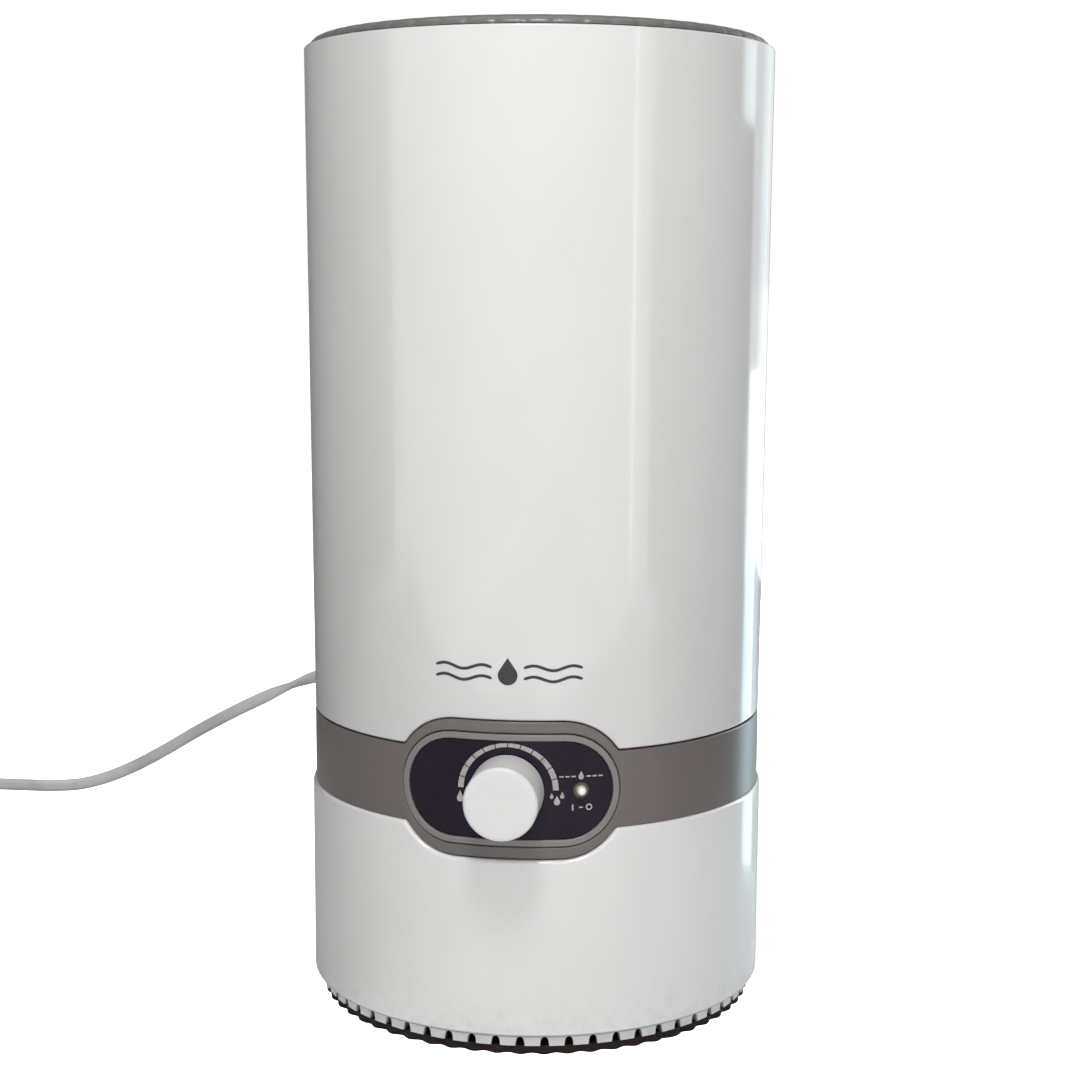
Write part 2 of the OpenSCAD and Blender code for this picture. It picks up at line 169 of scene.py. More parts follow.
def lofted(name, sections, sharp=40):
    """A closed mesh through loops of the same number of points, the first and the last one capped."""
    bm = bmesh.new()
    loops = [[bm.verts.new(p) for p in section] for section in sections]
    for a, b in zip(loops, loops[1:]):
        for k in range(len(a)):
            n = (k + 1) % len(a)
            bm.faces.new((a[k], a[n], b[n], b[k]))
    bm.faces.new(loops[0][::-1])
    bm.faces.new(loops[-1])
    return smooth_mesh(name, bm, sharp)


def flat_cord_mesh(name, line):
    """An oval sheath with a shallow groove on each wide side, swept along a line, its wide side upright."""
    sides = 20
    rows = []
    for i, point in enumerate(line):
        along = (line[min(i + 1, len(line) - 1)] - line[max(i - 1, 0)]).normalized()
        across = along.cross(Vector((0, 0, 1))).normalized()
        up = across.cross(along)
        turn = twist_at(point.x)
        across, up = across * cos(turn) + up * sin(turn), up * cos(turn) - across * sin(turn)
        row = []
        for k in range(sides):
            a = 2 * pi * k / sides
            waist = 1 - 0.13 * max(0, 1 - abs(sin(a)) / 0.35)
            row.append(point + across * (sheath_depth / 2 * cos(a) * waist) + up * (sheath_width / 2 * sin(a)))
        rows.append(row)
    return lofted(name, rows, 60)


cord_line = flowing([Vector(p) * mm for p in route + coil_turns() + lead], 2.5 * mm)
cord_mesh = flat_cord_mesh("mains_cord", cord_line)
mains_cord = new_piece("mains_cord", cord_mesh, "cord_white", "base", "power_cord", "cord_coil", "plug_lead")
cord_length = sum((b - a).length for a, b in zip(cord_line, cord_line[1:]))


def add_node(tree, kind, inputs=None, **settings):
    """Adds a node with its settings first, then the values and links of its inputs."""
    made = tree.nodes.new(kind)
    for key, value in settings.items():
        setattr(made, key, value)
    for key, value in (inputs or {}).items():
        if isinstance(value, bpy.types.NodeSocket):
            tree.links.new(value, made.inputs[key])
        else:
            made.inputs[key].default_value = value
    return made


class Wire:
    """One output in a finish's node tree; sums and products of wires add the Math nodes."""

    def __init__(self, finish, socket):
        self.finish = finish
        self.socket = socket

    def _math(self, operation, a, b):
        return self.finish.node("ShaderNodeMath", {0: a, 1: b}, operation=operation)

    def __add__(self, other):
        return self._math("ADD", self, other)

    __radd__ = __add__

    def __sub__(self, other):
        return self._math("SUBTRACT", self, other)

    def __rsub__(self, other):
        return self._math("SUBTRACT", other, self)

    def __mul__(self, other):
        return self._math("MULTIPLY", self, other)

    __rmul__ = __mul__

    def __pow__(self, other):
        return self._math("POWER", self, other)

    def over(self, level):
        return self._math("GREATER_THAN", self, level)

    def sine(self):
        return self._math("SINE", self, 0)

    def size(self):
        return self._math("ABSOLUTE", self, 0)

    def ramp(self, low, high):
        """0 below low, 1 above high, smooth between; high may be the smaller one."""
        inputs = {"Value": self, "From Min": low, "From Max": high}
        return self.finish.node("ShaderNodeMapRange", inputs, interpolation_type="SMOOTHSTEP")


class Finish:
    """A material with one Principled shader, and the calls that lay its pattern on."""

    def __init__(self, name, **constants):
        self.material = bpy.data.materials.new(name)
        self.material.use_nodes = True
        self.tree = self.material.node_tree
        self.shader = self.tree.nodes["Principled BSDF"]
        for key, value in constants.items():
            self.shader.inputs[key.replace("_", " ")].default_value = value
        self.place = self.node("ShaderNodeTexCoord", output="Object")

    def node(self, kind, inputs=None, output=0, **settings):
        """Adds a node, its inputs given as values or wires, and gives one of its outputs as a wire."""
        inputs = {key: value.socket if isinstance(value, Wire) else value for key, value in (inputs or {}).items()}
        return Wire(self, add_node(self.tree, kind, inputs, **settings).outputs[output])

    def noise(self, scale, detail=3, stretch=None, distortion=0):
        """Noise in object space, its scale per metre, stretched along the axes if asked."""
        place = self.place
        if stretch:
            place = self.node("ShaderNodeMapping", {"Vector": place, "Scale": stretch})
        inputs = {"Vector": place, "Scale": scale, "Detail": detail, "Distortion": distortion}
        return self.node("ShaderNodeTexNoise", inputs)

    def axis(self, name):
        return self.node("ShaderNodeSeparateXYZ", {"Vector": self.place}, name)

    def mix(self, factor, a, b):
        """Colour a where the factor is 0 and b where it is 1."""
        colours = [colour if isinstance(colour, Wire) else (*colour, 1) for colour in (a, b)]
        return self.node("ShaderNodeMix", {0: factor, 6: colours[0], 7: colours[1]}, 2, data_type="RGBA")

    def feed(self, name, wire):
        self.tree.links.new(wire.socket, self.shader.inputs[name])

    def bump(self, height, distance):
        self.feed("Normal", self.node("ShaderNodeBump", {"Height": height, "Distance": distance}))

    def on(self, *pieces):
        """Gives the finish to each piece, or CAD node by its name, in place of its materials."""
        for piece in pieces:
            slots = (frame["nodes"][piece] if isinstance(piece, str) else piece).data.materials
            if len(slots):
                for i in range(len(slots)):
                    slots[i] = self.material
            else:
                slots.append(self.material)


def tinted(colour, factor):
    """A colour made darker or lighter by a factor."""
    return tuple(min(1, c * factor) for c in colour)


def moulded(name, colour, roughness, shade=0.06, grain=2600, grain_height=0.000004, **constants):
    """Moulded plastic: faint drifts of tone, rubbed and matt patches, and a fine texture from the tool."""
    finish = Finish(name, **constants)
    drift = finish.noise(14, 4)
    rubbed = finish.noise(90, 5, distortion=0.6)
    fine = finish.noise(grain, 2)
    tone = (drift * 0.7 + rubbed * 0.3).ramp(0.3, 0.7)
    finish.feed("Base Color", finish.mix(tone, tinted(colour, 1 - shade), tinted(colour, 1 + shade / 2)))
    finish.feed("Roughness", roughness * 0.82 + rubbed * (roughness * 0.3) + fine * (roughness * 0.08))
    finish.bump(fine + rubbed * 0.5, grain_height)
    return finish


# White PVC: dull soft gloss, slightly grey where it has been handled, and faint rings from the extruder.
cord_sheath = Finish("cord sheath", Specular_IOR_Level=0.45)
handled = cord_sheath.noise(55, 5)
ripple = cord_sheath.noise(1400, 2, stretch=(1, 0.2, 1))
cord_sheath.feed("Base Color", cord_sheath.mix(handled.ramp(0.4, 0.75), (0.66, 0.66, 0.655), (0.56, 0.56, 0.55)))
cord_sheath.feed("Roughness", 0.34 + handled * 0.14 + ripple * 0.05)
cord_sheath.bump(ripple + handled * 0.6, 0.00002)
cord_sheath.on(mains_cord)

# ---------- Cord sleeve ----------
# The strain relief is a soft PVC moulding clamped in the back wall. It tapers along the cord and is cut by rings of
# slots so that it bends evenly.


def turned(name, profile, sides=96, change=None, sharp=35, axis=None, middle=(0, 0, 0), flat=2.5 * mm, rim=0.4 * mm):
    """A lathe-turned closed mesh from points (radius, height) in mm, with extra rows that hold its flats flat.

    change: alters (radius, height) in metres by the angle. The mesh is turned to its axis and moved to its middle.
    A side longer than flat gets an extra row at rim from each end.
    """
    profile = [(r * mm, z * mm) for r, z in profile]
    points = []
    for i, (r, z) in enumerate(profile):
        points.append((r, z))
        r2, z2 = profile[(i + 1) % len(profile)]
        length = sqrt((r2 - r) ** 2 + (z2 - z) ** 2)
        if length > flat and not (r == 0 and r2 == 0):
            for t in (rim / length, 1 - rim / length):
                points.append((r + (r2 - r) * t, z + (z2 - z) * t))
    bm = bmesh.new()
    columns = []
    for k in range(sides):
        a = 2 * pi * k / sides
        column = []
        for r, z in points:
            r2, z2 = change(r, z, a) if change else (r, z)
            column.append(bm.verts.new((r2 * cos(a), r2 * sin(a), z2)))
        columns.append(column)
    for k in range(sides):
        here, there = columns[k], columns[(k + 1) % sides]
        for i in range(len(points)):
            n = (i + 1) % len(points)
            corners = [here[i], there[i], there[n], here[n]]
            if points[i][0] == 0:
                corners.remove(there[i])
            if points[n][0] == 0:
                corners.remove(there[n])
            if len(corners) > 2:
                bm.faces.new(corners)
    if axis:
        turn = Vector((0, 0, 1)).rotation_difference(Vector(axis)).to_matrix()
        bmesh.ops.transform(bm, matrix=turn.to_4x4(), verts=bm.verts)
    bmesh.ops.translate(bm, vec=middle, verts=bm.verts)
    return smooth_mesh(name, bm, sharp)


def arc(centre, radius, start, end, count=6):
    """Points of an arc, its angles in degrees."""
    angles = [radians(start + (end - start) / count * i) for i in range(count + 1)]
    return [(centre[0] + radius * cos(a), centre[1] + radius * sin(a)) for a in angles]


sleeve_profile = [(0, 0), (7, 0), (7, 2.4), (5, 2.4), (5, 7.2)] + arc((5.6, 7.9), 0.7, 270, 360, 3) + [(6.3, 9.4)]
for i in range(7):
    foot = 10.6 + 4.3 * i
    girth = 5.6 - 0.26 * i
    sleeve_profile += [(girth, foot), (girth - 0.05, foot + 2.5), (girth - 1.0, foot + 2.7), (girth - 1.05, foot + 4.1)]
sleeve_profile += [(3.95, 40.8), (3.4, 41.4), (0, 41.4)]
sleeve_mesh = turned("cord_sleeve", sleeve_profile, 48, axis=(0, 1, 0), middle=(0, 0.0866, 0.082), sharp=30)
cord_sleeve = new_piece("cord_sleeve", sleeve_mesh, "cord_white", "base", "strain_relief")
sleeve_white = moulded("sleeve white", (0.66, 0.66, 0.65), 0.42, grain=1900, grain_height=0.000012)
sleeve_white.on(cord_sleeve)

# ---------- Plug ----------
# A moulded two-blade plug: a soft PVC body with waisted grip ribs, cast round the cord, and two nickel-plated brass
# blades with a hole near the tip of each.
plug_x = -0.4343


def rounded_loop(width, height, corner, count=6):
    """A rounded rectangle about the origin, as points (across, up), anticlockwise."""
    x, z = width / 2 - corner, height / 2 - corner
    loop = []
    for sx, sz, start in ((1, 1, 0), (-1, 1, 90), (-1, -1, 180), (1, -1, 270)):
        loop += arc((sx * x, sz * z), corner, start, start + 90, count)
    return loop


plug_steps = [(146, 22.6, 15.6, 3.4), (146.3, 24, 17, 4.2), (147.4, 25, 17.9, 5), (152, 25, 17.9, 5.4)]
plug_steps += [(156 + 3 * i + d, w, 17.6 - 0.3 * i, 5.6) for i in range(4)
               for d, w in ((0, 24.4 - i), (0.4, 22.8 - i), (1.5, 22.6 - i), (2.0, 24.2 - i))]
plug_steps += [(169, 20.5, 16, 6.4), (171, 17, 14.8, 6.6), (174, 13.6, 13, 6.0), (179, 11.0, 11.0, 5.0),
               (184.4, 8.8, 9.4, 4.0), (185.6, 7.4, 8.6, 3.4)]
plug_mesh = lofted("plug_grip", [[(plug_x + x * mm, y * mm, 0.009 + z * mm) for x, z in rounded_loop(w, h, c)]
                                 for y, w, h, c in plug_steps], 50)
plug_grip = new_piece("plug_grip", plug_mesh, "cord_white", "base", "plug_body")
sleeve_white.on(plug_grip)


def plate_with_hole(name, length, height, hole_at, hole):
    """A flat blade along Y from its root at the origin, its tip rounded and a hole through it."""
    outline = [(0, -height / 2)] + arc((length - 1.2, -height / 2 + 1.2), 1.2, -90, 0, 4)
    outline += arc((length - 1.2, height / 2 - 1.2), 1.2, 0, 90, 4) + [(0, height / 2)]
    bore = [(hole_at + hole * cos(2 * pi * k / 20), hole * sin(2 * pi * k / 20)) for k in range(20)]
    bm = bmesh.new()
    for loop in (outline, bore):
        verts = [bm.verts.new((0, -y * mm, z * mm)) for y, z in loop]
        for k in range(len(verts)):
            bm.edges.new((verts[k], verts[(k + 1) % len(verts)]))
    bmesh.ops.triangle_fill(bm, edges=bm.edges[:], use_beauty=True)
    return mesh_from(name, bm)


def plain_copy(draft):
    """The evaluated mesh of a draft with its modifiers, which are removed together with the draft."""
    bpy.context.view_layer.update()
    graph = bpy.context.evaluated_depsgraph_get()
    mesh = bpy.data.meshes.new_from_object(draft.evaluated_get(graph), preserve_all_data_layers=True, depsgraph=graph)
    draft.modifiers.clear()
    bpy.data.objects.remove(draft)
    return mesh


def join_meshes(name, meshes):
    """One mesh of several, each where it is."""
    bm = bmesh.new()
    for mesh in meshes:
        bm.from_mesh(mesh)
    return mesh_from(name, bm)


blade_gap = 6.35 * mm
blade_root = (0.146, 0.009)
blade_draft = placed("blade_draft", plate_with_hole("blade_draft", 16, 6.3, 12.4, 1.6))
thick = blade_draft.modifiers.new("thick", "SOLIDIFY")
thick.thickness = 1.5 * mm
thick.offset = 0
soft = blade_draft.modifiers.new("soft", "BEVEL")
soft.width = 0.25 * mm
soft.segments = 2
blade_mesh = plain_copy(blade_draft)
blade_pair = []
for side in (-1, 1):
    blade = blade_mesh.copy()
    blade.transform(Matrix.Translation((plug_x + side * blade_gap, *blade_root)))
    blade_pair.append(blade)
plug_pins = new_piece("plug_pins", shaded(join_meshes("plug_pins", blade_pair), 30), "brass", "base", "plug_blades")


def metal(name, colour, roughness, brush=(1, 1, 1), scratch=900):
    """Bare metal: brushed or stamped, with fine lines along one way and a few dull patches."""
    finish = Finish(name)
    lines = finish.noise(scratch, 3, stretch=brush)
    dull = finish.noise(70, 4)
    finish.feed("Base Color", finish.mix((dull * 0.6 + lines * 0.4).ramp(0.35, 0.65), tinted(colour, 0.8), colour))
    finish.feed("Metallic", 1 - dull.ramp(0.68, 0.8) * 0.15)
    finish.feed("Roughness", roughness * 0.8 + lines * (roughness * 0.25) + dull * (roughness * 0.2))
    finish.bump(lines, 0.000006)
    return finish


metal("nickelled brass", (0.78, 0.72, 0.60), 0.26, (1, 0.06, 1)).on(plug_pins)

# ---------- Cord strap ----------
# A black woven hook-and-loop strap goes once round the coil and closes on itself with a raised end.
strap_y = coil_middle[1] - 37.5
strap_loops = []
for i in range(13):
    x = coil_middle[0] - 3 + 0.5 * i
    pinch = 0.25 * sin(pi * i / 12)
    strap_loops.append([(x * mm, (strap_y + y) * mm, (7.7 + z) * mm)
                        for y, z in rounded_loop(16.6 + pinch, 15.2, 2.6, 5)])
strap_shell = lofted("cord_strap", strap_loops, 60)
bm = bmesh.new()
bm.from_mesh(strap_shell)
bmesh.ops.delete(bm, geom=[f for f in bm.faces if len(f.verts) > 8], context="FACES_ONLY")
bm.to_mesh(strap_shell)
bm.free()
strap_draft = placed("strap_draft", strap_shell)
wall = strap_draft.modifiers.new("wall", "SOLIDIFY")
wall.thickness = 0.9 * mm
wall.offset = -1
strap_mesh = plain_copy(strap_draft)
strap_end = lofted("strap_end", [[((coil_middle[0] - 2.6 + 5.2 * i / 6) * mm, (strap_y + y) * mm, (15.05 + z) * mm)
                                  for y, z in rounded_loop(9, 0.7, 0.3, 3)] for i in range(7)], 40)
strap_mesh = shaded(join_meshes("cord_strap", [strap_mesh, strap_end]), 40)
cord_strap = new_piece("cord_strap", strap_mesh, "black_plastic", "base", "cord_tie")
webbing = Finish("black webbing", Roughness=0.8)
warp = (webbing.axis("X") * 9000).sine()
weft = (webbing.axis("Y") * 7000 + webbing.axis("Z") * 7000).sine()
weave = warp * weft
webbing.feed("Base Color", webbing.mix(weave.ramp(-0.6, 0.8), (0.012, 0.012, 0.013), (0.055, 0.055, 0.058)))
webbing.feed("Roughness", 0.72 + webbing.noise(300) * 0.2)
webbing.bump(weave + webbing.noise(4000) * 0.6, 0.00006)
webbing.on(cord_strap)

# ---------- Floor and light ----------
# The humidifier stands on a plain white floor in a white room with a dimmer ceiling. A broad lamp stands front right
# and a small one above it, upright strips draw the long highlights on the glossy shell, and dark cards that no camera
# sees, upright and lying, shape the shell's edges.
floor_bm = bmesh.new()
bmesh.ops.create_circle(floor_bm, cap_ends=True, segments=64, radius=40)
studio_floor = placed("studio_floor", mesh_from("studio_floor", floor_bm))
paper = Finish("white paper", Roughness=0.9, Specular_IOR_Level=0.1, Emission_Strength=0.97)
fibre = paper.noise(18, 3)
paper.feed("Base Color", paper.mix(fibre.ramp(0.2, 0.8), (0.93, 0.93, 0.93), (0.95, 0.95, 0.95)))
paper.feed("Emission Color", paper.mix(fibre.ramp(0.2, 0.8), (0.98, 0.98, 0.98), (1, 1, 1)))
paper.on(studio_floor)

world = bpy.data.worlds.new("studio")
bpy.context.scene.world = world
world.use_nodes = True
direction = add_node(world.node_tree, "ShaderNodeTexCoord").outputs["Generated"]
upward = add_node(world.node_tree, "ShaderNodeSeparateXYZ", {0: direction}).outputs["Z"]
ceiling = {"Value": upward, "From Min": 0.22, "From Max": 0.55, "To Min": 1.02, "To Max": 0.22}
strength = add_node(world.node_tree, "ShaderNodeMapRange", ceiling, interpolation_type="SMOOTHSTEP").outputs[0]
background = world.node_tree.nodes["Background"].inputs
world.node_tree.links.new(strength, background["Strength"])
background["Color"].default_value = (1, 1, 1, 1)


def lamp(name, place, target, width, height, power, colour=(1, 1, 1)):
    """A rectangular studio lamp at a place, turned to face a target."""
    data = bpy.data.lights.new(name, "AREA")
    data.shape = "RECTANGLE"
    data.size = width
    data.size_y = height
    data.energy = power
    data.color = colour
    light = placed(name, data)
    light.visible_camera = False
    facing = (Vector(target) - Vector(place)).to_track_quat("-Z", "Y")
    light.matrix_world = Matrix.Translation(place) @ facing.to_matrix().to_4x4()


lamp("key", (0.22, -1.5, 1.25), (0, 0, 0.36), 0.8, 0.8, 4.6)
lamp("high key", (0.03, -0.66, 1.25), (0, 0, 0.14), 0.26, 0.26, 6.2)
lamp("overhead", (0, 0.2, 2.2), (0, 0, 0), 1.8, 1.8, 9)
lamp("cool strip", (1.0, 0.72, 0.3), (0, 0, 0.22), 0.24, 1.5, 1.7, (0.7, 0.91, 1.0))
lamp("near strip", (0.27, 0.36, 0.2), (0.05, 0, 0.2), 0.11, 0.5, 0.08, (0.6, 0.87, 1.0))
lamp("low strip", (0.205, 0.134, 0.1), (0.05, -0.05, 0.1), 0.055, 0.3, 0.12, (0.6, 0.87, 1.0))
lamp("thin strip", (0.95, -0.75, 0.55), (0, 0, 0.3), 0.03, 1.3, 0.35)


def card(name, place, width, height, shade, mirrored_only=False, lying=False):
    """A dark card, upright or lying, that no camera sees; it takes away light, or shows in reflections only."""
    mesh = bpy.data.meshes.new(name)
    x, y, z = place
    along = Vector((1, 0, 0)) * width / 2 if lying else Vector((-y, x, 0)).normalized() * width / 2
    rise = Vector((0, 1, 0) if lying else (0, 0, 1)) * height / 2
    corners = [tuple(Vector(place) + along * s + rise * t) for s, t in ((-1, -1), (1, -1), (1, 1), (-1, 1))]
    mesh.from_pydata(corners, [], [(0, 1, 2, 3)])
    board = placed(name, mesh)
    board.visible_camera = False
    board.visible_diffuse = not mirrored_only
    board.visible_shadow = False
    felt = Finish(name + " felt", Roughness=1.0, Specular_IOR_Level=0.0)
    felt.feed("Base Color", felt.mix(felt.noise(60, 3).ramp(0.2, 0.8), (shade, shade, shade), (shade * 1.2,) * 3))
    felt.on(board)


card("left_card", (-1.05, 0.2, 0.5), 1.5, 1.4, 0.03)
card("right_card", (1.1, -0.02, 0.5), 1.2, 1.4, 0.05)
card("near_left_card", (-0.26, 0.36, 0.3), 1.1, 0.8, 0.2, True)
card("near_right_card", (0.38, 0.02, 0.18), 0.46, 0.4, 0.25, True)
card("left_ground_card", (-0.59, 0.2, 0.0002), 1.0, 1.8, 0.45, lying=True)
card("middle_ground_card", (0, 0.1, 0.0002), 0.18, 1.8, 0.82, lying=True)
card("right_ground_card", (0.49, 0.2, 0.0002), 0.8, 1.8, 0.72, lying=True)

# ---------- Underside ----------
# A dark moulded plate closes the base. Its edge is scalloped at the pitch of the intake teeth; four rubber feet and
# four pan-head screws are set into it.


def ring_tree():
    """Geometry nodes that set copies of one piece around the Z axis and give them a finish."""
    tree = bpy.data.node_groups.new("set around the axis", "GeometryNodeTree")
    sockets = {"Geometry": "Geometry", "Piece": "Object", "Count": "Int", "Radius": "Float", "First angle": "Float",
               "Finish": "Material"}
    for name, kind in sockets.items():
        tree.interface.new_socket(name, in_out="INPUT", socket_type="NodeSocket" + kind)
    tree.interface.new_socket("Geometry", in_out="OUTPUT", socket_type="NodeSocketGeometry")

    def add(kind, inputs=None, **settings):
        return add_node(tree, kind, inputs, **settings).outputs

    entry = add("NodeGroupInput")
    line = add("GeometryNodeMeshLine", {"Offset": (0, 0, 0), "Count": entry["Count"]})
    step = add("ShaderNodeMath", {0: 2 * pi, 1: entry["Count"]}, operation="DIVIDE")
    index = add("GeometryNodeInputIndex")
    angle = add("ShaderNodeMath", {0: index[0], 1: step[0], 2: entry["First angle"]}, operation="MULTIPLY_ADD")
    turn = add("ShaderNodeCombineXYZ", {"Z": angle[0]})
    reach = add("ShaderNodeCombineXYZ", {"X": entry["Radius"]})
    swung = add("ShaderNodeVectorRotate", {"Vector": reach[0], "Angle": angle[0]}, rotation_type="Z_AXIS")
    spots = add("GeometryNodeSetPosition", {"Geometry": line[0], "Position": swung[0]})
    source = add("GeometryNodeObjectInfo", {"Object": entry["Piece"]})
    pattern = {"Points": spots[0], "Instance": source["Geometry"], "Rotation": turn[0]}
    solid = add("GeometryNodeRealizeInstances", {0: add("GeometryNodeInstanceOnPoints", pattern)[0]})
    painted = add("GeometryNodeSetMaterial", {"Geometry": solid[0], "Material": entry["Finish"]})
    add_node(tree, "NodeGroupOutput", {0: painted[0]})
    return tree


around = ring_tree()


def weld(mesh):
    """Merges the points of a mesh that lie on each other."""
    bm = bmesh.new()
    bm.from_mesh(mesh)
    bmesh.ops.remove_doubles(bm, verts=bm.verts, dist=2e-6)
    bm.to_mesh(mesh)
    bm.free()


def set_around(name, single, count, radius, first, finish, sharp=35):
    """A plain mesh of count copies of a mesh around the Z axis; first is in degrees."""
    pattern = placed(name + "_single", single)
    holder = placed(name + "_ring", bpy.data.meshes.new(name + "_ring"))
    ring = holder.modifiers.new("ring", "NODES")
    ring.node_group = around
    values = {"Piece": pattern, "Count": count, "Radius": radius, "First angle": radians(first),
              "Finish": finish.material}
    for item in around.interface.items_tree:
        if item.in_out == "INPUT" and item.name in values:
            ring[item.identifier] = values[item.name]
    mesh = plain_copy(holder)
    mesh.name = name
    bpy.data.objects.remove(pattern)
    weld(mesh)
    return shaded(mesh, sharp)


tooth_count = 60
plate_edge = ([(0, 0.8), (70, 0.8), (86.3, 0.3)] + arc((88.1, 1.6), 1.3, 270, 360, 4)
              + [(89.6, 3.6), (89.2, 4.3), (0, 4.3)])


def scalloped(r, z, a, inner=84 * mm, depth=1.6 * mm):
    """Draws the rim of the plate in a little between every two teeth."""
    if r > inner:
        r -= depth * (0.5 + 0.5 * cos(tooth_count * (a + pi / 2)))
    return r, z


plate_mesh = turned("base_plate", plate_edge, 600, scalloped)
base_plate = new_piece("base_plate", plate_mesh, "dark_plastic", "base", "bottom_plate")
umber = moulded("umber plastic", (0.030, 0.021, 0.020), 0.55, shade=0.2, grain=1500, grain_height=0.00003,
                Specular_IOR_Level=0.12)
umber.on(base_plate)

rubber = Finish("grey rubber")
pores = rubber.noise(2200, 3)
worn = rubber.noise(120, 4)
rubber.feed("Base Color", rubber.mix(worn.ramp(0.35, 0.7), (0.20, 0.19, 0.18), (0.30, 0.29, 0.27)))
rubber.feed("Roughness", 0.66 + worn * 0.2)
rubber.bump(pores + worn, 0.00004)
foot_profile = [(0, 0), (7.4, 0)] + arc((8.2, 0.8), 0.8, 270, 360, 4) + [(9, 4.3), (0, 4.3)]
foot_mesh = turned("foot", foot_profile, 48)
new_piece("feet", set_around("feet", foot_mesh, 4, 0.0794, 45, rubber), "foot_rubber", "base", "rubber_feet")


def cross_head(name, head, shank, head_height, length):
    """A screw standing head down at the origin, with a cross recess in its head."""
    rings = [(0.0, 0.55), (0.25 * head, 0.5), (head * 0.8, 0.22), (head, 0.75), (head, head_height)]
    rings += [(shank, head_height + 0.05)]
    z = head_height + 0.5
    while z < length - 0.6:
        rings += [(shank * 0.84, z), (shank, z + 0.22), (shank, z + 0.34)]
        z += 0.6
    rings += [(shank * 0.7, length - 0.3), (0.0, length)]
    sides = 24
    sections = []
    for i, (r, h) in enumerate(rings):
        section = []
        for k in range(sides):
            a = 2 * pi * k / sides
            slot = 0.54 if i == 1 and k % 6 == 0 else 0
            section.append((r * cos(a) * mm, r * sin(a) * mm, (h + slot) * mm))
        sections.append(section)
    return lofted(name, sections, 40)


zinc = metal("zinc-plated steel", (0.55, 0.56, 0.58), 0.32, (1, 1, 0.3))
screw_mesh = cross_head("plate_screw", 3, 1.5, 1.8, 8.8)
screw_mesh.transform(Matrix.Translation((0, 0, 0.9 * mm)))
new_piece("plate_screws", set_around("plate_screws", screw_mesh, 4, 0.072, 22.5, zinc), "steel", "base",
          "bottom_screws")

# ---------- Intake teeth ----------
# Sixty short teeth under the white shell, moulded with it, let the air in all round. Each gap is an arch and each
# tooth has softened edges.


def inset_loop(loop, distance):
    """A closed outline moved inwards (to its left) by a distance, mitred at the corners."""
    count = len(loop)
    moved = []
    for i in range(count):
        before, here, after = (Vector(loop[k % count]) for k in (i - 1, i, i + 1))
        a, b = (here - before).normalized(), (after - here).normalized()
        n1, n2 = Vector((-a.y, a.x)), Vector((-b.y, b.x))
        normal = n1 + n2
        normal = normal / max(normal.length_squared / 2, 0.3)
        moved.append(here + normal * distance)
    return moved


def outward_normals(loop):
    """For each corner of an outline, the direction out of the material."""
    count = len(loop)
    result = []
    for i in range(count):
        before, here, after = (Vector(loop[k % count]) for k in (i - 1, i, i + 1))
        a, b = (here - before).normalized(), (after - here).normalized()
        result.append(Vector((a.y + b.y, -a.x - b.x)).normalized())
    return result


